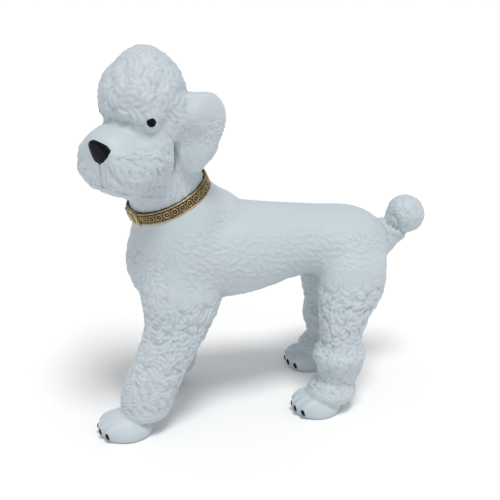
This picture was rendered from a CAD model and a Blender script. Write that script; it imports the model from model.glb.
"""The looks of the ceramic poodle: a sculpted coat of curls over the cast forms, gilt and enamel.

The castings are turned into one distance field, so that the joints run together as luted clay does.
A surface is drawn over that field, its coat is pressed in lock by lock, and it is cut back into the
castings. Work is in millimetres in the row frame, and meshes are made in metres at the end.
"""

import math
from functools import partial

import bpy
import numpy as np
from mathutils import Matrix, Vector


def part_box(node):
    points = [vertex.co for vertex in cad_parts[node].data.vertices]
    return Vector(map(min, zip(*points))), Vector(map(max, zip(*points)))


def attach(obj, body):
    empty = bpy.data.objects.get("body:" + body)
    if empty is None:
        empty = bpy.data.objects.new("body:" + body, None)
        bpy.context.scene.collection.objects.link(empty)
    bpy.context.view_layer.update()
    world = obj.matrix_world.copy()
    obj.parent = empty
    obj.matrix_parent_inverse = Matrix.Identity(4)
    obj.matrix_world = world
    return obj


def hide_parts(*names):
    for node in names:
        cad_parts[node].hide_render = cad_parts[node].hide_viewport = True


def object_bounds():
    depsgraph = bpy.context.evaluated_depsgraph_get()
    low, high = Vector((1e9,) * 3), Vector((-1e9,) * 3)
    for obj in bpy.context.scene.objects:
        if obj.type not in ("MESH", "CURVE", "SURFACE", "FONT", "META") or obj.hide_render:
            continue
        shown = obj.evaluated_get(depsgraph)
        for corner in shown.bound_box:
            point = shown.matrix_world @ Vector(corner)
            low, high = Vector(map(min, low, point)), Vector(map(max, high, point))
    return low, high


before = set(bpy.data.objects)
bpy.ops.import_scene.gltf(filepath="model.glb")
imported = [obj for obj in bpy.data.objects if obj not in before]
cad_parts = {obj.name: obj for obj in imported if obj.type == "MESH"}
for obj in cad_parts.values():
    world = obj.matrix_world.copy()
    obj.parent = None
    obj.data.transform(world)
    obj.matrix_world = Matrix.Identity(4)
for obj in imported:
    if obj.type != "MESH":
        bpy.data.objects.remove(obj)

import openvdb as vdb
from mathutils import Vector
from mathutils.bvhtree import BVHTree
from mathutils.kdtree import KDTree

first_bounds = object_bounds()
rng = np.random.default_rng(20)

BODY_NODES = (
    "torso_casting", "front_left_leg_casting", "front_right_leg_casting",
    "rear_left_leg_casting", "rear_right_leg_casting", "tail_stem_casting",
    "tail_pompom_casting",
)
HEAD_NODES = ("head_casting", "topknot_casting", "left_ear_casting", "right_ear_casting")
CASTINGS = BODY_NODES + HEAD_NODES
PAWS = ("front_left", "front_right", "rear_left", "rear_right")
CLAW_PLACES = (-1.0, -1 / 3, 1 / 3, 1.0)  # over a paw's half width, from the middle

MM = 1000.0  # millimetres in a metre
WHOLE_TURN = 2 * math.pi
BODY_STEP = 1.7  # the body field's voxel
HEAD_STEP = 1.25  # the head field's voxel
MARGIN = 14.0  # room that a field leaves around the castings
FAR_AWAY = 1e3  # the distance in a field where nothing is near
FORM_ROOM = 24.0  # how far beyond its longest radius a form is worked out
FORM_LIMIT = 60.0  # a form's distances are held within this
FIELD_LIMIT = 8.0  # the sealed field's distances are held within this
SEAL = 5.0  # the outside stays this far from the clay at first, so holes are closed over
LET_BACK = 3  # voxels beyond that distance by which the outside grows back into narrow gaps

NOSE_LEAN = 5.0  # how far the nose stands to the left of the middle of the skull
MOST_TRIED = 45000  # points tried when tufts or locks are scattered
LOCK_GROUND = 0.38  # the part of a lock's height that a bed of locks adds on average
TUFT_GROUND = 0.70  # the same for tufts
DEEPEST = 0.5  # how far bare ground sinks, as a part of what is taken off
UNCOMBED = 400.0  # a pitch so wide that the tufts come out smooth

ORNAMENTS = 32  # ringed dots around the collar
CLASP = 0.20  # how far round from the throat the clasp stands, in radians
BAND_SHARE = 0.97  # the collar's width beside the CAD band's
RAY_START = 25.0  # how far out from the skin the enamel is cast onto it
FLOOR_REACH = 6000.0


# ---------- places, from the CAD frame


def box(node):
    """Lowest corner, highest corner and middle of a CAD node, in millimetres."""
    low, high = (np.array(corner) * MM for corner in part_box(node))
    return low, high, (low + high) / 2


def unit(vector):
    vector = np.asarray(vector, float)
    return vector / (np.linalg.norm(vector, axis=-1, keepdims=True) + 1e-12)


left_eye_at = box("left_eye")[2]
right_eye_at = box("right_eye")[2]
HEAD_LEFT = unit((left_eye_at - right_eye_at) * np.array([1, 1, 0]))
HEAD_FORWARD = np.array([HEAD_LEFT[1], -HEAD_LEFT[0], 0.0])
topknot_at = box("topknot_casting")[2]
# the head's upright axis passes just behind the middle of the topknot's brim
HEAD_AXIS = topknot_at * np.array([1, 1, 0]) - 12.0 * HEAD_FORWARD
HEAD_TURN = np.stack([HEAD_FORWARD, HEAD_LEFT, np.array([0, 0, 1.0])])


def head_point(forward, left, height):
    """A place given forward, to the left and up, about the head's own axis."""
    return HEAD_AXIS + forward * HEAD_FORWARD + left * HEAD_LEFT + np.array([0, 0, height])


def to_head(points):
    """Forward, left and height of points, about the head's own axis."""
    away = points - HEAD_AXIS
    return np.stack([away @ HEAD_FORWARD, away @ HEAD_LEFT, points[:, 2]], 1)


# ---------- distance fields


class Field:
    """Distances on a regular grid, negative inside the clay."""

    def __init__(self, low, high, step):
        self.step = step
        self.start = np.floor(np.asarray(low) / step).astype(int)
        self.shape = tuple(np.ceil(np.asarray(high) / step).astype(int) - self.start + 1)
        self.values = np.full(self.shape, FAR_AWAY, np.float32)

    def axes(self):
        """The grid's places along X, Y and Z."""
        return [((self.start[a] + np.arange(self.shape[a])) * self.step) for a in range(3)]

    def from_node(self, node, band=9.0):
        """The distance to one CAD node's mesh, true within a band of so many voxels."""
        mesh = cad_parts[node].data
        mesh.calc_loop_triangles()
        points = np.empty(len(mesh.vertices) * 3, np.float32)
        mesh.vertices.foreach_get("co", points)
        triangles = np.empty(len(mesh.loop_triangles) * 3, np.int32)
        mesh.loop_triangles.foreach_get("vertices", triangles)
        grid = vdb.FloatGrid.createLevelSetFromPolygons(
            points.reshape(-1, 3) * MM, triangles=triangles.reshape(-1, 3),
            transform=vdb.createLinearTransform(voxelSize=self.step), halfWidth=band)
        out = np.empty(self.shape, np.float32)
        grid.copyToArray(out, ijk=tuple(int(s) for s in self.start))
        return out


def spread(seed, room, steps):
    """Grows a region through the room it has, one voxel a step."""
    for _ in range(steps):
        grown = seed.copy()
        for axis in range(3):
            ahead = [slice(None)] * 3
            behind = [slice(None)] * 3
            ahead[axis] = slice(1, None)
            behind[axis] = slice(None, -1)
            grown[tuple(ahead)] |= seed[tuple(behind)]
            grown[tuple(behind)] |= seed[tuple(ahead)]
        grown &= room
        if grown.sum() == seed.sum():
            break
        seed = grown
    return seed


def flood(room):
    """The part of the room that is joined to the grid's own edge."""
    seed = np.zeros_like(room)
    for axis in range(3):
        for end in (0, -1):
            edge = [slice(None)] * 3
            edge[axis] = end
            seed[tuple(edge)] = True
    seed &= room
    while True:
        before = seed.sum()
        for axis in range(3):
            line = np.moveaxis(seed, axis, 0)
            free = np.moveaxis(room, axis, 0)
            for order in (range(1, line.shape[0]), range(line.shape[0] - 2, -1, -1)):
                step = 1 if order.step == 1 else -1
                for number in order:
                    line[number] |= line[number - step] & free[number]
        if seed.sum() == before:
            return seed


def blur(values, width):
    """A Gaussian blur; the width is in voxels."""
    reach = int(math.ceil(width * 2.5))
    weights = np.exp(-0.5 * (np.arange(-reach, reach + 1) / width) ** 2)
    weights = (weights / weights.sum()).astype(np.float32)
    for axis in range(3):
        padding = [(0, 0)] * 3
        padding[axis] = (reach, reach)
        padded = np.pad(values, padding, mode="edge")
        total = np.zeros_like(values)
        for number, weight in enumerate(weights):
            part = [slice(None)] * 3
            part[axis] = slice(number, number + values.shape[axis])
            total += weight * padded[tuple(part)]
        values = total
    return values


def smooth_union(one, other, width):
    """The nearer of two fields, rounded where they are about as near as each other."""
    mix = np.maximum(width - np.abs(one - other), 0.0) / width
    return np.minimum(one, other) - mix * mix * width * 0.25


def ellipsoid_field(field, centre, radii, turn=None):
    """Distance to an ellipsoid; the rows of turn are its own axes."""
    xs, ys, zs = field.axes()
    centre = np.asarray(centre, float)
    turn = np.eye(3) if turn is None else np.asarray(turn, float)
    reach = max(radii) + FORM_ROOM
    out = np.full(field.shape, FAR_AWAY, np.float32)
    spans = []
    for axis, line in enumerate((xs, ys, zs)):
        near = np.nonzero(np.abs(line - centre[axis]) < reach)[0]
        if not len(near):
            return out
        spans.append(slice(near[0], near[-1] + 1))
    grid = np.stack(np.meshgrid(xs[spans[0]], ys[spans[1]], zs[spans[2]], indexing="ij"), -1)
    away = ((grid - centre) @ turn.T) / np.asarray(radii, float)
    first = np.sqrt((away ** 2).sum(-1))
    second = np.sqrt(((away / np.asarray(radii, float)) ** 2).sum(-1)) + 1e-9
    out[tuple(spans)] = np.clip(first * (first - 1.0) / second, -FORM_LIMIT, FORM_LIMIT)
    return out


def ramp(values, start, end):
    """A smooth step from 0 at start to 1 at end."""
    part = np.clip((values - start) / (end - start), 0.0, 1.0)
    return part * part * (3 - 2 * part)


def cast_field(step):
    """The sealed outer form of all castings, and which casting is nearest to each voxel."""
    low, high = (np.array(corner) * MM for corner in first_bounds)
    field = Field(low - MARGIN, high + MARGIN, step)
    nearest = np.full(field.shape, FAR_AWAY, np.float32)
    label = np.zeros(field.shape, np.uint8)
    for number, node in enumerate(CASTINGS):
        distance = field.from_node(node)
        closer = distance < nearest
        label[closer] = number
        nearest = np.where(closer, distance, nearest)
    heights = np.broadcast_to(field.axes()[2], field.shape)
    above = heights > 0.1 * step
    outside = flood((nearest > SEAL) & above)
    growth = int(math.ceil(SEAL / step)) + LET_BACK
    outside = spread(outside, (nearest > -0.6 * step) & above, growth)
    sealed = np.where(outside | (nearest < 0), nearest, -SEAL)
    field.values = np.clip(np.maximum(sealed, -heights), -FIELD_LIMIT, FIELD_LIMIT)
    field.values = field.values.astype(np.float32)
    return field, label


# ---------- surfaces from fields


def surface(field):
    """Surface nets: one vertex in each cell that the surface crosses, one quad for each edge."""
    values = field.values
    inside = values < 0
    shape = np.array(values.shape)
    cells = shape - 1
    sums = np.zeros((int(np.prod(cells)), 3))
    counts = np.zeros(int(np.prod(cells)), np.int32)
    edges = []
    for axis in range(3):
        first = [slice(None)] * 3
        second = [slice(None)] * 3
        first[axis] = slice(None, -1)
        second[axis] = slice(1, None)
        crossing = inside[tuple(first)] != inside[tuple(second)]
        spot = np.stack(np.nonzero(crossing), 1)
        near = values[spot[:, 0], spot[:, 1], spot[:, 2]]
        ahead = spot.copy()
        ahead[:, axis] += 1
        beyond = values[ahead[:, 0], ahead[:, 1], ahead[:, 2]]
        place = spot.astype(float)
        place[:, axis] += near / (near - beyond)
        one, two = [a for a in range(3) if a != axis]
        corners = []
        good = np.ones(len(spot), bool)
        for shift_one, shift_two in ((-1, -1), (0, -1), (0, 0), (-1, 0)):
            cell = spot.copy()
            cell[:, one] += shift_one
            cell[:, two] += shift_two
            good &= ((cell >= 0) & (cell < cells)).all(1)
            corners.append(cell)
        flat = [np.ravel_multi_index(tuple(c[good].T), tuple(cells)) for c in corners]
        for index in flat:
            np.add.at(sums, index, place[good])
            np.add.at(counts, index, 1)
        quads = np.stack(flat, 1)
        flip = (near[good] < 0) != (axis == 1)
        quads[~flip] = quads[~flip][:, ::-1]
        edges.append(quads)
    used = np.nonzero(counts)[0]
    number = np.full(len(counts), -1, np.int64)
    number[used] = np.arange(len(used))
    points = sums[used] / counts[used, None]
    return (points + field.start) * field.step, number[np.concatenate(edges)]


class Skin:
    """A mesh being sculpted: points, faces, normals and the neighbours of each point."""

    def __init__(self, points, faces):
        self.points = points
        self.faces = faces
        ends = np.concatenate([faces[:, [0, 1]], faces[:, [1, 2]], faces[:, [2, 3]],
                               faces[:, [3, 0]]])
        ends = np.unique(np.sort(ends, 1), axis=0)
        self.ends = ends
        self.degree = np.bincount(ends.ravel(), minlength=len(points)).astype(float)
        self.degree[self.degree == 0] = 1
        self.update()

    def update(self):
        """Works the normals out again from where the points are."""
        a, b, c, d = (self.points[self.faces[:, n]] for n in range(4))
        across = np.cross(c - a, d - b)
        normals = np.zeros_like(self.points)
        for axis in range(3):
            for corner in range(4):
                normals[:, axis] += np.bincount(self.faces[:, corner], across[:, axis],
                                                minlength=len(self.points))
        self.normals = unit(normals)

    def mean(self, values):
        """The mean of each point's neighbours' values."""
        values = np.asarray(values, float)
        flat = values.reshape(len(self.points), -1)
        one, two = self.ends.T
        out = np.empty_like(flat)
        for column in range(flat.shape[1]):
            line = flat[:, column]
            total = np.bincount(one, line[two], minlength=len(self.points))
            total += np.bincount(two, line[one], minlength=len(self.points))
            out[:, column] = total / self.degree
        return out.reshape(values.shape)

    def relax(self, rounds, inward=0.5, outward=-0.52):
        """Evens the mesh out. Each round smooths it and then swells it back."""
        for _ in range(rounds):
            for amount in (inward, outward):
                self.points += amount * (self.mean(self.points) - self.points)
        self.update()


def subdivided(points, faces):
    """One level of Catmull-Clark subdivision."""
    mesh = bpy.data.meshes.new("coarse")
    mesh.from_pydata(points.tolist(), [], faces.tolist())
    thing = bpy.data.objects.new("coarse", mesh)
    bpy.context.scene.collection.objects.link(thing)
    modifier = thing.modifiers.new("subdivide", "SUBSURF")
    modifier.levels = 1
    fine = thing.evaluated_get(bpy.context.evaluated_depsgraph_get()).to_mesh()
    out = np.empty(len(fine.vertices) * 3)
    fine.vertices.foreach_get("co", out)
    corners = np.empty(len(fine.loops), np.int32)
    fine.loops.foreach_get("vertex_index", corners)
    thing.evaluated_get(bpy.context.evaluated_depsgraph_get()).to_mesh_clear()
    bpy.data.objects.remove(thing)
    bpy.data.meshes.remove(mesh)
    return out.reshape(-1, 3), corners.reshape(-1, 4).astype(np.int64)


# ---------- clay forms beyond the castings


def paw_front(side):
    """The front edge of a paw's row of claws, at floor level, and the row's width."""
    low, high, middle = box(f"{side}_claws")
    return np.array([middle[0], low[1], 0.0]), high[0] - low[0]


def add_body_forms(field):
    """The nape, the chest, the muscles, the toes and the flares of the rear cuffs."""
    rear_end = box("torso_casting")[1][1]
    body_x, collar_y, _ = box("collar_band")[2]
    heights = field.axes()[2][None, None, :]
    # the joints above the legs' middles are softened
    near_joint = ramp(heights, 84.0, 104.0)
    soft = blur(field.values, 3.2 / field.step)
    values = field.values * (1 - near_joint) + soft * near_joint
    for centre, radii in (
        ((body_x, collar_y + 41, 202.0), (25, 21, 15)),  # nape
        ((body_x, collar_y - 13, 152.0), (33, 26, 34)),  # chest
        ((body_x + 30, collar_y + 2, 132.0), (22, 32, 30)),  # left shoulder
        ((body_x - 30, collar_y + 12, 132.0), (22, 32, 30)),  # right shoulder
        ((body_x + 36, rear_end - 44, 122.0), (20, 30, 34)),  # left thigh
        ((body_x - 36, rear_end - 38, 122.0), (20, 30, 34)),  # right thigh
    ):
        values = smooth_union(values, ellipsoid_field(field, centre, radii), 14.0)
    for side in PAWS:
        front, width = paw_front(side)
        for part in CLAW_PLACES:
            centre = front + np.array([part * width * 0.355, 12.5 + 4.2 * part * part, 8.5])
            toe = ellipsoid_field(field, centre, (6.6, 13.0, 9.0))
            values = smooth_union(values, toe, 1.6)
        if side.startswith("rear"):
            flare = ellipsoid_field(field, front + np.array([0, 46.0, 57.0]), (24.0, 25.5, 13.0))
            values = smooth_union(values, flare, 7.0)
    field.values = np.maximum(values, -np.broadcast_to(heights, field.shape)).astype(np.float32)


def add_head_forms(field):
    """The bridge, the moustache, the chin, the brow, the fringe and the folds of the ears."""
    values = blur(field.values, 1.2 / field.step)

    def lump(place, radii, width):
        nonlocal values
        shape = ellipsoid_field(field, head_point(*place), radii, HEAD_TURN)
        values = smooth_union(values, shape, width)

    # the bridge of the nose, then a moustache, a cheek and a brow on each side
    lump((36, 0, 287), (26, 19, 11), 12)
    for side in (-1, 1):
        lump((45, side * 17, 257), (22, 17.5, 21), 5)
        lump((22, side * 24, 268), (20, 14, 20), 10)
        lump((26, side * 20, 306), (14, 15, 9), 8)
    # the chin, the fringe on the right and in the middle, and the temples
    lump((37, 0, 243), (20, 16, 10), 4)
    lump((12, -27, 309), (20, 15, 14), 8)
    lump((30, 0, 309), (16, 22, 9), 8)
    for side in (-1, 1):
        lump((-3, side * 31, 300), (18, 12, 18), 8)
    # a fold over the top of each ear, and a gap between its front edge and the cheek
    ear_low, _, ear_at = box("left_ear_casting")
    forward, left, height = to_head(ear_at[None])[0]
    for side in (-1, 1):
        lump((forward - 3.0, side * (left + 3.5), height + 17.0), (17, 5.5, 12), 9)
        lump((forward - 12.0, side * (left + 3.0), height - 1.0), (9, 5.0, 22), 8)
    edge = np.array([[ear_at[0], ear_low[1], ear_low[2] + 15.0]])
    forward, left, height = to_head(edge)[0]
    for side in (-1, 1):
        gap = ellipsoid_field(field, head_point(forward + 1.0, side * (left + 3.0), height),
                              (3.2, 9.0, 17.0), HEAD_TURN)
        values = -smooth_union(-values, gap, 3.0)
    field.values = values.astype(np.float32)


# ---------- the coat


def scatter(points, allowed, spacing):
    """Picks points at random so that no two are closer to each other than the spacing."""
    order = rng.permutation(np.nonzero(allowed)[0])[:MOST_TRIED]
    cells = {}
    chosen = []
    shifts = [(x, y, z) for x in (-1, 0, 1) for y in (-1, 0, 1) for z in (-1, 0, 1)]
    for index, point in zip(order, points[order].tolist()):
        key = [int(part // spacing) for part in point]
        clear = True
        for shift in shifts:
            cell = (key[0] + shift[0], key[1] + shift[1], key[2] + shift[2])
            for other in cells.get(cell, ()):
                if sum((a - b) ** 2 for a, b in zip(point, other)) < spacing * spacing:
                    clear = False
                    break
            if not clear:
                break
        if clear:
            cells.setdefault(tuple(key), []).append(point)
            chosen.append(index)
    return np.array(chosen, int)


def lock_height(along, across, length, width, bend, combs=3.0):
    """A comma-shaped lock: it rises to its tip, bends to one side and is combed lengthwise."""
    part = along / length + 0.5
    middle = bend * length * (part - 0.35) ** 2
    half = 0.5 * width * np.sin(np.pi * np.clip(part, 0, 1) ** 0.75) ** 0.55 + 1e-6
    side = (across - middle) / half
    inside = (part > 0) & (part < 1) & (np.abs(side) < 1)
    round_top = np.sqrt(np.clip(1 - side * side, 0, 1))
    rise = 0.30 + 0.70 * np.clip(part, 0, 1)
    comb = 0.15 * np.cos(np.pi * combs * side)
    return np.where(inside, round_top * rise + comb * rise * round_top, 0.0)


def tuft_height(along, across, radius, pitch, slim):
    """A tuft: a dome combed in arcs about a point on its own rim, and highest towards its tip."""
    across = across / slim
    reach = np.hypot(along, across) / radius
    dome = np.clip(1 - reach * reach, 0, 1) ** 0.6
    arcs = np.cos(2 * np.pi * np.hypot(along + 0.75 * radius, across - 0.35 * radius) / pitch)
    tilt = 0.70 + 0.30 * np.clip(along / radius, -1, 1)
    return np.where(reach < 1, dome * tilt * (0.86 + 0.14 * arcs), 0.0)


def soft_maximum(one, other, width=0.45):
    """The higher of two heights, rounded where they are about as high as each other."""
    mix = np.maximum(width - np.abs(one - other), 0.0) / width
    return np.maximum(one, other) + mix * mix * width * 0.25


class Coat:
    """The height of the coat over a skin, built up lock by lock."""

    def __init__(self, skin):
        self.skin = skin
        self.height = np.zeros(len(skin.points))
        self.ground = np.zeros(len(skin.points))
        self.total = np.zeros(len(skin.points))
        self.tree = KDTree(len(skin.points))
        for index, point in enumerate(skin.points):
            self.tree.insert(point, index)
        self.tree.balance()

    def near(self, index, reach):
        """The points within reach of one point that face about the same way as it does."""
        found = self.tree.find_range(self.skin.points[index], reach)
        near = np.fromiter((entry[1] for entry in found), int, len(found))
        facing = self.skin.normals[near] @ self.skin.normals[index] > 0.15
        return near[facing]

    def frame_at(self, index, flow, lean):
        """Ahead and sideways along the skin at a point, turned by the lean from the flow."""
        normal = self.skin.normals[index]
        ahead = unit(flow - normal * (flow @ normal))
        side = np.cross(normal, ahead)
        return (ahead * math.cos(lean) + side * math.sin(lean),
                side * math.cos(lean) - ahead * math.sin(lean))

    def lay(self, seed, reach, ahead, side, strength, shape):
        """Lays one lock or tuft. Its shape gives a height ahead and sideways of the seed."""
        near = self.near(seed, reach)
        away = self.skin.points[near] - self.skin.points[seed]
        height = shape(away @ ahead, away @ side) * strength[near]
        self.height[near] = soft_maximum(self.height[near], height)

    def locks(self, allowed, strength, flow, length, width, spacing, sway, bend):
        """Lays locks. Where they may go, strength and flow are given at every point."""
        self.ground = np.maximum(self.ground, LOCK_GROUND * strength * allowed)
        seeds = scatter(self.skin.points, allowed, spacing)
        sways = rng.normal(0, sway, len(seeds))
        bends = rng.choice([-1, 1], len(seeds)) * bend * rng.uniform(0.5, 1.3, len(seeds))
        sizes = rng.uniform(0.8, 1.2, len(seeds))
        for seed, lean, bow, size in zip(seeds, sways, bends, sizes):
            shape = partial(lock_height, length=length * size, width=width * size, bend=bow)
            ahead, side = self.frame_at(seed, flow[seed], lean)
            self.lay(seed, length * size * 0.62, ahead, side, strength, shape)

    def tufts(self, allowed, strength, flow, radius, pitch, slim=0.72, share=0.80, sway=0.8):
        """Lays rounded tufts, combed in arcs. The share sets how closely they stand."""
        self.ground = np.maximum(self.ground, TUFT_GROUND * strength * allowed)
        seeds = scatter(self.skin.points, allowed, share * radius)
        sways = rng.normal(0, sway, len(seeds))
        hands = rng.choice([-1, 1], len(seeds))
        sizes = rng.uniform(0.75, 1.25, len(seeds))
        for seed, lean, hand, size in zip(seeds, sways, hands, sizes):
            shape = partial(tuft_height, radius=radius * size, pitch=pitch, slim=slim)
            ahead, side = self.frame_at(seed, flow[seed], lean)
            self.lay(seed, radius * size, ahead, hand * side, strength, shape)

    def press(self):
        """Moves the skin out by the coat's height, less what the coat adds on average."""
        self.height = 0.6 * self.height + 0.4 * self.skin.mean(self.height)
        for _ in range(3):
            self.ground = self.skin.mean(self.ground)
        # where no tuft happens to lie, the ground stays near that of its surroundings
        self.height = np.maximum(self.height - self.ground, -DEEPEST * self.ground)
        self.total += self.height
        self.skin.points = self.skin.points + self.skin.normals * self.height[:, None]
        self.skin.update()
        self.height = np.zeros(len(self.height))
        self.ground = np.zeros(len(self.ground))


def label_at(points, field, label):
    """The number of the casting that is nearest to each point."""
    place = np.rint(points / field.step).astype(int) - field.start
    place = np.clip(place, 0, np.array(field.shape) - 1)
    return label[place[:, 0], place[:, 1], place[:, 2]]


def in_nodes(labels, *nodes):
    """Which of the labels stand for one of the nodes."""
    return np.isin(labels, [CASTINGS.index(node) for node in nodes])


def soften(skin, mask, rounds=8):
    """Fades a mask in and out over the few points at its edge."""
    mask = np.asarray(mask, float)
    for _ in range(rounds):
        mask = skin.mean(mask)
    return mask


def body_coat(skin, labels):
    """Commas on the flanks, chunky tufts on legs and breast, finer ones low down, a lumpy pompom."""
    points, normals = skin.points, skin.normals
    height = points[:, 2]
    collar_at = box("collar_band")[2]
    from_collar = np.linalg.norm(points - collar_at, axis=1)
    legs = in_nodes(labels, *(node for node in BODY_NODES if "leg" in node))
    torso = in_nodes(labels, "torso_casting")
    pompom = in_nodes(labels, "tail_pompom_casting")
    front = points[:, 1] < 0
    # how chunky and how strong the coat is: none on the paws, along the spine and at the throat
    paw_top = np.where(front, 23.5, 20.5)
    leg_share = ramp(height, paw_top, paw_top + 5)
    low_leg = legs * (1 - ramp(height, 55, 80))
    spine = ramp(normals[:, 2], 0.35, 0.9) * ramp(height, 165, 190)
    throat = 1 - ramp(from_collar, 42, 56)
    chunky = np.clip(1 - ramp(height, 118, 150), 0, 1)
    breast = 1 - ramp(points[:, 1], collar_at[1] - 22, collar_at[1] + 4)
    chunky = np.maximum(chunky, 0.75 * breast * (1 - ramp(height, 168, 190)))
    strength = (1.45 + 0.45 * chunky) * (1 - 0.92 * spine) * (1 - throat)
    strength = np.where(torso | legs, strength * np.where(legs, leg_share, 1), 0)
    strength *= np.where(torso & (normals[:, 2] < -0.5), 0.5, 1)
    # the hair runs back and down on the flanks, and down on the legs
    flow = np.stack([0 * height, 0.75 - 0.75 * chunky, -0.45 - 0.55 * chunky], 1)
    flow[:, 1] = np.where(front & (chunky > 0.2), 0.45, flow[:, 1])
    coat = Coat(skin)
    one = np.ones(len(points))
    rounded = strength * chunky * 1.9
    coat.tufts(rounded > 0.3, rounded, flow, radius=13.0, pitch=UNCOMBED, slim=0.85)
    coat.tufts(pompom, 2.2 * one, flow, radius=12.0, pitch=UNCOMBED, slim=0.9)
    coat.press()
    flank = 0.72 * strength * (1 - 0.8 * chunky)
    coat.locks(flank > 0.3, flank, flow, length=10.5, width=4.4, spacing=6.0, sway=0.40,
               bend=0.45)
    shaggy = strength * chunky * 2.3
    coat.tufts((shaggy > 0.5) & (low_leg < 0.75), shaggy, flow, radius=9.8, pitch=5.4)
    coat.tufts((shaggy > 0.5) & (low_leg > 0.35), shaggy * 0.85, flow, radius=10.0, pitch=3.8,
               slim=0.52, share=0.62, sway=0.35)
    wound = flow * 0.4 + np.array([0.6, 0.2, 0.3])
    coat.tufts(pompom, 2.6 * one, wound, radius=8.5, pitch=4.4)
    coat.press()
    return coat.total


def head_coat(skin, labels):
    """Wound curls on the topknot, combed locks on the muzzle, a band of curls on each ear."""
    points = skin.points
    forward, left, height = to_head(points).T
    topknot = in_nodes(labels, "topknot_casting")
    ears = in_nodes(labels, "left_ear_casting", "right_ear_casting")
    face = in_nodes(labels, "head_casting")
    eye_away = np.minimum(np.linalg.norm(points - left_eye_at, axis=1),
                          np.linalg.norm(points - right_eye_at, axis=1))
    coat = Coat(skin)
    # the topknot, with its fringe over the brow
    hair = np.where(topknot, 1.0, 0.0)
    hair = np.maximum(hair, ramp(height, 304, 312) * (forward > -30) * (~ears))
    hair = soften(skin, hair * ramp(eye_away, 6.5, 10.5))
    ears = soften(skin, ears)
    away = points - topknot_at
    swirl = np.stack([-away[:, 1], away[:, 0], 0 * height], 1) * 0.02 + np.array([0, 0, -1.0])
    coat.tufts(hair > 0.3, 4.8 * hair, swirl, radius=17.0, pitch=UNCOMBED, slim=0.8, share=0.8,
               sway=1.0)
    # the moustache and the beard, combed back and down from the nose
    from_nose = points - box("nose_enamel")[2]
    nose_away = np.linalg.norm(from_nose, axis=1)
    beard = ramp(nose_away, 13, 18) * (1 - ramp(height, 276, 288)) * ramp(forward, 8, 18)
    beard = beard * face * ramp(height, 226, 232)
    combed = unit(from_nose) + np.array([0, 0, -0.35])
    rim = beard * np.maximum(1 - ramp(height, 246, 262), 1 - ramp(forward, 18, 34))
    coat.tufts(rim > 0.3, 3.0 * rim, combed, radius=12.0, pitch=UNCOMBED, slim=0.8)
    coat.press()
    coat.tufts(hair > 0.2, 3.9 * hair, swirl, radius=14.0, pitch=6.6, slim=0.66, share=0.74,
               sway=1.0)
    coat.locks(beard > 0.15, 2.3 * beard, combed, length=21.0, width=7.2, spacing=6.6,
               sway=0.14, bend=0.60)
    coat.tufts(rim > 0.5, 3.4 * rim, combed, radius=9.5, pitch=4.6, slim=0.62, share=0.85,
               sway=0.5)

    def steady(*flow):
        return np.tile(flow, (len(points), 1))

    # the cheeks and the neck, very shallow
    cheek = face * (1 - beard) * (1 - hair) * ramp(eye_away, 12, 18) * (1 - ramp(forward, 20, 34))
    coat.locks(cheek > 0.3, 1.2 * cheek, steady(0, 0.2, -1.0), length=15.0, width=5.5,
               spacing=7.5, sway=0.3, bend=0.4)
    # the ears: combed strands, and a band of curls across the middle
    petal = ears * (1 - 0.6 * ramp(height, 298, 306))
    coat.locks(petal > 0.3, 0.8 * petal, steady(0, 0.1, -1.0), length=20.0, width=6.0,
               spacing=7.0, sway=0.2, bend=0.4)
    band = ears * ramp(height, 266, 284) * (1 - ramp(height, 292, 312))
    coat.tufts(band > 0.15, 2.9 * band, steady(0, 0.3, -1.0), radius=6.8, pitch=3.6)
    coat.press()
    # the eyelids, the line under the nose and the mouth
    lid = 0.75 * np.exp(-((eye_away - 6.3) / 1.1) ** 2)
    lid = lid - 0.5 * np.exp(-((eye_away - 9.3) / 1.2) ** 2)
    beside = left - NOSE_LEAN
    line = np.exp(-(beside / 1.5) ** 2) * ramp(height, 247, 251) * (1 - ramp(height, 270, 275))
    mouth_height = 249.5 - 0.010 * beside * beside
    mouth = np.exp(-((height - mouth_height) / 1.5) ** 2) * (1 - ramp(np.abs(beside), 20, 27))
    carve = (1.3 * line + mouth) * ramp(forward, 42, 52) * face
    skin.points = skin.points + skin.normals * (lid - carve)[:, None]
    skin.update()
    return coat.total - 1.2 * carve


# ---------- meshes and pieces


def build(name, points, faces, smooth=True, normals=None):
    """A mesh object from points in millimetres."""
    mesh = bpy.data.meshes.new(name)
    faces = np.asarray(faces)
    mesh.vertices.add(len(points))
    mesh.vertices.foreach_set("co", (np.asarray(points) / MM).astype(np.float32).ravel())
    sides = faces.shape[1]
    mesh.loops.add(faces.size)
    mesh.loops.foreach_set("vertex_index", faces.astype(np.int32).ravel())
    mesh.polygons.add(len(faces))
    mesh.polygons.foreach_set("loop_start", np.arange(0, faces.size, sides, dtype=np.int32))
    mesh.update(calc_edges=True)
    mesh.polygons.foreach_set("use_smooth", np.full(len(faces), smooth))
    if normals is not None:
        mesh.normals_split_custom_set_from_vertices(normals.tolist())
    mesh.update()
    thing = bpy.data.objects.new(name, mesh)
    bpy.context.scene.collection.objects.link(thing)
    return thing


def add_attribute(thing, name, values):
    """A number at each point, for the material to read."""
    layer = thing.data.attributes.new(name, "FLOAT", "POINT")
    layer.data.foreach_set("value", np.asarray(values, np.float32))


def finish_piece(thing, material, slot_name, *nodes):
    """Gives a piece its material, its body, its slot and the CAD nodes that it stands for."""
    thing.data.materials.append(material)
    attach(thing, "root")
    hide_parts(*nodes)
    return thing


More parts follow.
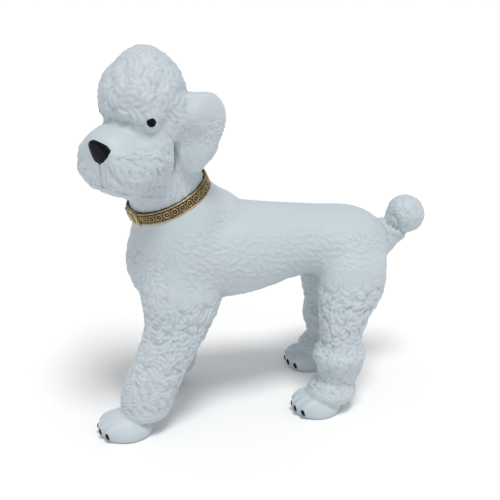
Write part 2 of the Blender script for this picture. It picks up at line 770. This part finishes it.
def cut_to_pieces(skin, height, field, label, nodes, material):
    """Cuts one sculpted skin back into the castings that it was drawn over.

    Each point keeps how hollow the skin is there, and how far it lies below its surroundings.
    """
    curve = ((skin.mean(skin.points) - skin.points) * skin.normals).sum(1)
    for _ in range(2):
        curve = 0.5 * curve + 0.5 * skin.mean(curve)
    wide = height
    for _ in range(16):
        wide = skin.mean(wide)
    middles = skin.points[skin.faces].mean(1)
    face_label = label_at(middles, field, label)
    for node in nodes:
        chosen = skin.faces[face_label == CASTINGS.index(node)]
        used, faces = np.unique(chosen, return_inverse=True)
        thing = build(node.replace("_casting", "_sculpted"), skin.points[used],
                      faces.reshape(-1, 4), normals=skin.normals[used])
        add_attribute(thing, "hollow", curve[used])
        add_attribute(thing, "groove", (wide - height)[used])
        finish_piece(thing, material, "white_ceramic", node)


def disc(rings, spokes):
    """A flat disc of unit radius: its points and its triangles."""
    points = [(0.0, 0.0)]
    for ring in range(1, rings + 1):
        for spoke in range(spokes):
            angle = 2 * math.pi * spoke / spokes
            points.append((ring / rings * math.cos(angle), ring / rings * math.sin(angle)))
    faces = []
    for ring in range(rings):
        for spoke in range(spokes):
            after = (spoke + 1) % spokes
            outer = 1 + ring * spokes
            if ring == 0:
                faces.append((0, outer + spoke, outer + after))
            else:
                inner = outer - spokes
                faces.append((inner + spoke, outer + spoke, outer + after))
                faces.append((inner + spoke, outer + after, inner + after))
    return np.array(points), np.array(faces)


def enamel_patch(tree, centre, aim, outline, lift, rings=12, spokes=56):
    """A thin dome of enamel on the skin. The outline gives its half sizes at every angle."""
    aim = unit(aim)
    across = unit(np.cross([0, 0, 1.0], aim))
    upright = np.cross(aim, across)
    flat, faces = disc(rings, spokes)
    angle = np.arctan2(flat[:, 1], flat[:, 0])
    reach = np.hypot(flat[:, 0], flat[:, 1])
    wide, tall = outline(angle)
    points = []
    for share, x, y in zip(reach, flat[:, 0] * wide, flat[:, 1] * tall):
        start = centre + across * x + upright * y + aim * RAY_START
        hit, normal, _, _ = tree.ray_cast(Vector(start), Vector(-aim))
        if hit is None:
            hit, normal = Vector(start - aim * RAY_START), Vector(aim)
        height = lift * (1 - share ** 4) - 0.30 * share ** 8
        points.append(np.array(hit) + np.array(normal) * height)
    points = np.array(points)
    for _ in range(2):
        inner = points[1:1 + (rings - 1) * spokes].reshape(rings - 1, spokes, 3)
        inner += 0.3 * (np.roll(inner, 1, 1) + np.roll(inner, -1, 1) - 2 * inner)
    return points, faces


def joined(parts):
    """Several meshes as one."""
    points = []
    faces = []
    count = 0
    for part_points, part_faces in parts:
        points.append(part_points)
        faces.append(part_faces + count)
        count += len(part_points)
    return np.concatenate(points), np.concatenate(faces)


# ---------- the collar


class Loop:
    """The collar's oval, fitted to the CAD band: its middle, its axis and its half sizes."""

    def __init__(self):
        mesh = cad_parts["collar_band"].data
        points = np.array([vertex.co for vertex in mesh.vertices]) * MM
        self.middle = (points.min(0) + points.max(0)) / 2
        away = points - self.middle
        ends = np.linalg.eigh(away.T @ away)
        self.axis = ends[1][:, 0] * np.sign(ends[1][2, 0])
        self.left = unit(np.array([1.0, 0, 0]) - self.axis * self.axis[0])
        self.ahead = np.cross(self.left, self.axis)
        self.ahead *= -np.sign(self.ahead[1])
        self.half_left = np.abs(away @ self.left).max()
        self.half_ahead = np.abs(away @ self.ahead).max()
        self.half_width = np.abs(away @ self.axis).max() * BAND_SHARE
        self.radius = 0.5 * (self.half_left + self.half_ahead)

    def spot(self, angle, out, along):
        """A point at an angle from the throat, at a distance out from the band's outer face."""
        angle = np.asarray(angle)[..., None]
        out = np.asarray(out)[..., None]
        along = np.asarray(along)[..., None]
        wide = (self.half_left + out) * np.sin(angle)
        deep = (self.half_ahead + out) * np.cos(angle)
        return self.middle + self.left * wide + self.ahead * deep + self.axis * along


def band_mesh(loop, start, end, rows, columns, height, inner):
    """A strip of band between two angles, closed behind: points, faces and how deep each is."""
    angles = np.linspace(start, end, columns)
    alongs = np.linspace(-loop.half_width, loop.half_width, rows)
    angle, along = np.meshgrid(angles, alongs, indexing="ij")
    level = height(angle, along)
    outer = loop.spot(angle, level, along)
    back = loop.spot(angle, np.full_like(angle, inner), along)[:, [-1, 0]]
    grid = np.concatenate([outer, back], 1)
    depth = np.concatenate([np.clip(-level, 0, 1), np.ones((columns, 2))], 1)
    count = grid.shape[1]
    number = np.arange(columns * count).reshape(columns, count)
    if end - start > WHOLE_TURN - 0.001:
        number[-1] = number[0]
    after = np.roll(number, -1, 1)
    faces = np.stack([number[:-1], number[1:], after[1:], after[:-1]], -1).reshape(-1, 4)
    return grid.reshape(-1, 3), faces, depth.ravel()


def ridge(distance, width):
    """A half round of unit height about the place where the distance is 0."""
    return np.sqrt(np.clip(1 - (distance / width) ** 2, 0, 1))


def ornament(angle, along, loop):
    """A ringed dot to each length of the band, with small dots in the corners between them."""
    length = WHOLE_TURN * loop.radius / ORNAMENTS
    x = (angle * loop.radius) % length - length / 2
    room = loop.half_width - 1.6
    reach = np.hypot(x, along)
    ring = ridge(reach - 0.62 * room, 0.75)
    dot = ridge(reach, 1.0)
    corner = ridge(np.hypot(np.abs(x) - 0.5 * length, np.abs(along) - 0.62 * room), 1.05)
    return np.maximum.reduce([ring, dot, corner * 0.9])


def strap_height(loop):
    """The band's plain face and its two rims."""
    def height(angle, along):
        edge = loop.half_width - np.abs(along)
        rim = ridge(edge - 0.85, 0.85) * 0.75
        roll = -0.6 * np.clip(1 - edge / 0.35, 0, 1)
        wear = 0.10 * np.sin(angle * 23.0 + 1.3) * np.sin(along * 0.9 + angle * 7.0)
        return -0.95 + 1.25 * rim + roll + wear
    return height


def relief_height(loop):
    """The ornaments' face between the rims."""
    def height(angle, along):
        inside = np.abs(along) < loop.half_width - 1.55
        raised = ornament(angle, along, loop)
        return np.where(inside, -1.35 + 1.45 * np.clip(raised, 0, 1.1), -1.8)
    return height


def block_mesh(loop, start, end, low, high, out, inner=-2.6, bevel=0.45):
    """A small block bent along the band, with its outer edges taken off."""
    columns, rows = 12, 14
    angles = np.linspace(start, end, columns)
    alongs = np.linspace(low, high, rows)
    angle, along = np.meshgrid(angles, alongs, indexing="ij")
    edge = np.minimum.reduce([(angle - start) * loop.radius, (end - angle) * loop.radius,
                              along - low, high - along])
    height = out - bevel * np.clip(1 - edge / bevel, 0, 1) ** 2
    outer = loop.spot(angle, height, along)
    back = loop.spot(angle, np.full_like(angle, inner), along)
    count = columns * rows
    number = np.arange(count).reshape(columns, rows)
    top = np.stack([number[:-1, :-1], number[1:, :-1], number[1:, 1:], number[:-1, 1:]], -1)
    bottom = top[..., ::-1] + count
    border = np.concatenate([number[:-1, 0], number[-1, :-1], number[:0:-1, -1], number[0, :0:-1]])
    after = np.roll(border, -1)
    walls = np.stack([after, border, border + count, after + count], -1)
    faces = np.concatenate([top.reshape(-1, 4), bottom.reshape(-1, 4), walls])
    return np.concatenate([outer.reshape(-1, 3), back.reshape(-1, 3)]), faces


# ---------- materials


class Nodes:
    """A material's node tree, with short ways to add and join nodes."""

    def __init__(self, name):
        self.material = bpy.data.materials.new(name)
        self.material.use_nodes = True
        self.tree = self.material.node_tree
        self.shader = self.tree.nodes["Principled BSDF"]

    def feed(self, socket, value):
        """Links a node's output to a socket, or sets the socket's own value."""
        if isinstance(value, bpy.types.NodeSocket):
            self.tree.links.new(value, socket)
        else:
            socket.default_value = value

    def add(self, kind, values=None, **settings):
        node = self.tree.nodes.new(f"ShaderNode{kind}")
        for key, value in settings.items():
            setattr(node, key, value)
        for key, value in (values or {}).items():
            self.feed(node.inputs[key], value)
        return node

    def noise(self, scale, detail=3.0, rough=0.55):
        place = self.add("TexCoord")
        node = self.add("TexNoise", {"Vector": place.outputs["Object"], "Scale": scale,
                                     "Detail": detail, "Roughness": rough})
        return node.outputs["Fac"]

    def attribute(self, name):
        return self.add("Attribute", attribute_name=name).outputs["Fac"]

    def between(self, value, low, high, start=0.0, end=1.0):
        node = self.add("MapRange", {"Value": value, "From Min": low, "From Max": high,
                                     "To Min": start, "To Max": end})
        return node.outputs["Result"]

    def mix(self, factor, one, other):
        """One colour mixed with another."""
        node = self.add("Mix", {0: factor, 6: one, 7: other}, data_type="RGBA")
        return node.outputs[2]

    def math(self, operation, one, other=0.0):
        return self.add("Math", {0: one, 1: other}, operation=operation).outputs[0]

    def set(self, name, value):
        self.feed(self.shader.inputs[name], value)

    def bump(self, value, strength, distance):
        node = self.add("Bump", {"Height": value, "Strength": strength, "Distance": distance})
        self.set("Normal", node.outputs["Normal"])


def white_bisque():
    """A pale glaze that is darker in grooves and hollows and lighter on edges."""
    cool, warm = (0.500, 0.568, 0.612, 1), (0.530, 0.590, 0.625, 1)
    groove_tone, hollow_tone = (0.27, 0.325, 0.365, 1), (0.28, 0.335, 0.375, 1)
    edge_tone = (0.60, 0.645, 0.67, 1)
    nodes = Nodes("white_bisque")
    curve = nodes.attribute("hollow")
    deep = nodes.between(curve, 0.0, 0.14)
    proud = nodes.between(curve, 0.0, -0.12)
    low = nodes.between(nodes.attribute("groove"), 0.05, 0.9)
    cloud = nodes.between(nodes.noise(9.0), 0.35, 0.65)
    base = nodes.mix(cloud, cool, warm)
    sunk = nodes.mix(nodes.math("MULTIPLY", low, 0.55), base, groove_tone)
    shaded = nodes.mix(nodes.math("MULTIPLY", deep, 0.45), sunk, hollow_tone)
    lit = nodes.mix(nodes.math("MULTIPLY", proud, 0.50), shaded, edge_tone)
    nodes.set("Base Color", lit)
    nodes.set("Roughness", nodes.between(nodes.noise(160.0), 0.3, 0.7, 0.46, 0.58))
    nodes.set("Specular IOR Level", 0.35)
    nodes.bump(nodes.noise(900.0, 4.0, 0.6), 0.12, 0.0004)
    return nodes.material


def antique_gilt():
    """Rubbed gold, browned in patches and dark between the raised ornaments."""
    dull, bright_gold = (0.36, 0.275, 0.14, 1), (0.50, 0.40, 0.23, 1)
    brown, black_brown = (0.10, 0.065, 0.028, 1), (0.05, 0.033, 0.015, 1)
    nodes = Nodes("antique_gilt")
    patches = nodes.between(nodes.noise(150.0, 5.0, 0.65), 0.42, 0.70)
    fine = nodes.between(nodes.noise(1500.0, 3.0), 0.4, 0.6)
    bright = nodes.mix(fine, dull, bright_gold)
    worn = nodes.mix(nodes.math("MULTIPLY", patches, 0.35), bright, brown)
    sunk = nodes.between(nodes.attribute("groove"), 0.25, 0.85)
    aged = nodes.mix(nodes.math("MULTIPLY", sunk, 0.92), worn, black_brown)
    nodes.set("Base Color", aged)
    nodes.set("Metallic", 0.75)
    nodes.set("Roughness", nodes.between(patches, 0.0, 1.0, 0.34, 0.62))
    nodes.bump(nodes.noise(1100.0, 4.0, 0.6), 0.35, 0.0004)
    return nodes.material


def black_enamel():
    """Glossy black, very slightly uneven."""
    dark, less_dark = (0.0035, 0.004, 0.006, 1), (0.008, 0.009, 0.013, 1)
    nodes = Nodes("black_enamel")
    cloud = nodes.between(nodes.noise(220.0), 0.35, 0.65)
    nodes.set("Base Color", nodes.mix(cloud, dark, less_dark))
    nodes.set("Roughness", nodes.between(nodes.noise(500.0), 0.3, 0.7, 0.20, 0.34))
    nodes.set("Specular IOR Level", 0.07)
    nodes.bump(nodes.noise(420.0, 3.0), 0.10, 0.0005)
    return nodes.material


def pale_floor():
    """A plain floor, nearly white."""
    light, shade = (0.93, 0.93, 0.93, 1), (0.93 * 0.985, 0.93 * 0.985, 0.93 * 0.985, 1)
    nodes = Nodes("pale_floor")
    tone = nodes.between(nodes.noise(3.0), 0.3, 0.7)
    nodes.set("Base Color", nodes.mix(tone, light, shade))
    nodes.set("Roughness", 0.9)
    return nodes.material


# ---------- sculpting

bisque = white_bisque()
gilt = antique_gilt()
enamel = black_enamel()


def draw_skin(field, label, nodes, rounds):
    """The smoothed surface of a field over some castings, and each point's casting."""
    points, faces = surface(field)
    wanted = in_nodes(label_at(points[faces].mean(1), field, label), *nodes)
    kept, corners = np.unique(faces[wanted], return_inverse=True)
    skin = Skin(points[kept], corners.reshape(-1, 4))
    skin.relax(rounds)
    skin = Skin(*subdivided(skin.points, skin.faces))
    return skin, label_at(skin.points, field, label)


body_field, body_label = cast_field(BODY_STEP)
add_body_forms(body_field)
body_skin, labels = draw_skin(body_field, body_label, BODY_NODES, 3)
body_height = body_coat(body_skin, labels)
# the soles are brought back onto the floor
floor_touch = body_skin.points[:, 2] < 0.35
body_skin.points[floor_touch, 2] = np.maximum(body_skin.points[floor_touch, 2], 0.0)
body_skin.update()
cut_to_pieces(body_skin, body_height, body_field, body_label, BODY_NODES, bisque)

head_field, head_label = cast_field(HEAD_STEP)
add_head_forms(head_field)
head_skin, labels = draw_skin(head_field, head_label, HEAD_NODES, 2)
head_height = head_coat(head_skin, labels)
cut_to_pieces(head_skin, head_height, head_field, head_label, HEAD_NODES, bisque)

# ---------- enamel

head_tree = BVHTree.FromPolygons(head_skin.points.tolist(), head_skin.faces.tolist())
body_tree = BVHTree.FromPolygons(body_skin.points.tolist(), body_skin.faces.tolist())


def eye_outline(angle):
    return 4.3 * np.ones_like(angle), 4.8 * np.ones_like(angle)


def nose_outline(angle):
    """A rounded triangle with a nearly level top and its point downwards."""
    turn = angle + math.pi / 2 + 0.14
    reach = 1 + 0.12 * np.cos(3 * turn)
    return 13.0 * reach, 9.4 * reach


def claw_outline(angle):
    return 2.6 * np.ones_like(angle), 3.5 * np.ones_like(angle)


for node, place, side in (("left_eye", left_eye_at, 1), ("right_eye", right_eye_at, -1)):
    aim = HEAD_FORWARD * 0.62 + HEAD_LEFT * side * 0.78
    raised = place + np.array([0, 0, 2.6])
    patch = enamel_patch(head_tree, raised, aim, eye_outline, 0.55, 8, 40)
    finish_piece(build(f"{node}_enamel", *patch), enamel, "black_enamel", node)

nose_at = box("nose_enamel")[2] + NOSE_LEAN * HEAD_LEFT + np.array([0, 0, 5.5])
patch = enamel_patch(head_tree, nose_at, HEAD_FORWARD + np.array([0, 0, 0.55]), nose_outline, 0.9)
finish_piece(build("nose_glaze", *patch), enamel, "black_enamel", "nose_enamel")

for side in PAWS:
    front, width = paw_front(side)
    patches = []
    for part in CLAW_PLACES:
        centre = front + np.array([part * width * 0.40, 3.0 + 4.2 * part * part, 6.3])
        aim = np.array([0.42 * part, -1.0, 0.55])
        patches.append(enamel_patch(body_tree, centre, aim, claw_outline, 0.5, 5, 20))
    finish_piece(build(f"{side}_claw_paint", *joined(patches)), enamel, "black_enamel",
                 f"{side}_claws")

# ---------- collar

loop = Loop()


def add_band(name, node, rows, columns, height, inner, gap):
    """A band around the whole collar, less a gap on each side of the clasp."""
    points, faces, depth = band_mesh(loop, CLASP + gap, CLASP + WHOLE_TURN - gap, rows, columns,
                                     height, inner)
    thing = build(name, points, faces)
    add_attribute(thing, "groove", depth)
    finish_piece(thing, gilt, "antique_gilt", node)


add_band("collar_strap", "collar_band", 30, 720, strap_height(loop), -3.2, 0.0)
add_band("collar_relief", "collar_ornaments", 50, 1400, relief_height(loop), -2.6, 0.07)
# the clasp: a block, a smaller one on top, and a loop on each side
parts = []
for before, after, wider, out in ((0.20, 0.20, 0.8, 0.7), (0.15, 0.12, -1.5, 1.9),
                                  (-0.235, 0.29, 0.5, 1.4), (0.29, -0.235, 0.5, 1.4)):
    edge = loop.half_width + wider
    parts.append(block_mesh(loop, CLASP - before, CLASP + after, -edge, edge, out))
finish_piece(build("buckle_block", *joined(parts), smooth=False), gilt, "antique_gilt",
             "collar_buckle")

# ---------- stage, light and camera

corners = FLOOR_REACH * np.array([[-1, -1, 0], [1, -1, 0], [1, 1, 0], [-1, 1, 0]])
floor = build("floor", corners, [[0, 1, 2, 3]], smooth=False)
floor.data.materials.append(pale_floor())

sun = bpy.data.lights.new("overhead", "SUN")
sun.energy = 1.85
sun.angle = math.radians(18.0)
sun.color = (1.0, 0.99, 0.98)
overhead = bpy.data.objects.new("overhead", sun)
overhead.rotation_euler = Vector((-0.55, -0.02, -1.6)).to_track_quat("-Z", "Y").to_euler()
bpy.context.scene.collection.objects.link(overhead)
bpy.context.scene.view_settings.view_transform = "Standard"

world = bpy.data.worlds.new("studio")
world.use_nodes = True
world.node_tree.nodes["Background"].inputs["Color"].default_value = (0.98, 0.99, 1.0, 1)
world.node_tree.nodes["Background"].inputs["Strength"].default_value = 0.57
bpy.context.scene.world = world

AZIMUTH, ELEVATION, DISTANCE = math.radians(73.0), math.radians(24.0), 1.150
target = Vector((-0.0051, -0.00866, 0.15278))
back = Vector((math.sin(AZIMUTH) * math.cos(ELEVATION), -math.cos(AZIMUTH) * math.cos(ELEVATION),
               math.sin(ELEVATION)))
lens = bpy.data.cameras.new("camera")
lens.sensor_width = 36.0
lens.lens = 88.07
camera = bpy.data.objects.new("camera", lens)
camera.location = target + back * DISTANCE
camera.rotation_euler = (-back).to_track_quat("-Z", "Y").to_euler()
bpy.context.scene.collection.objects.link(camera)
bpy.context.scene.camera = camera
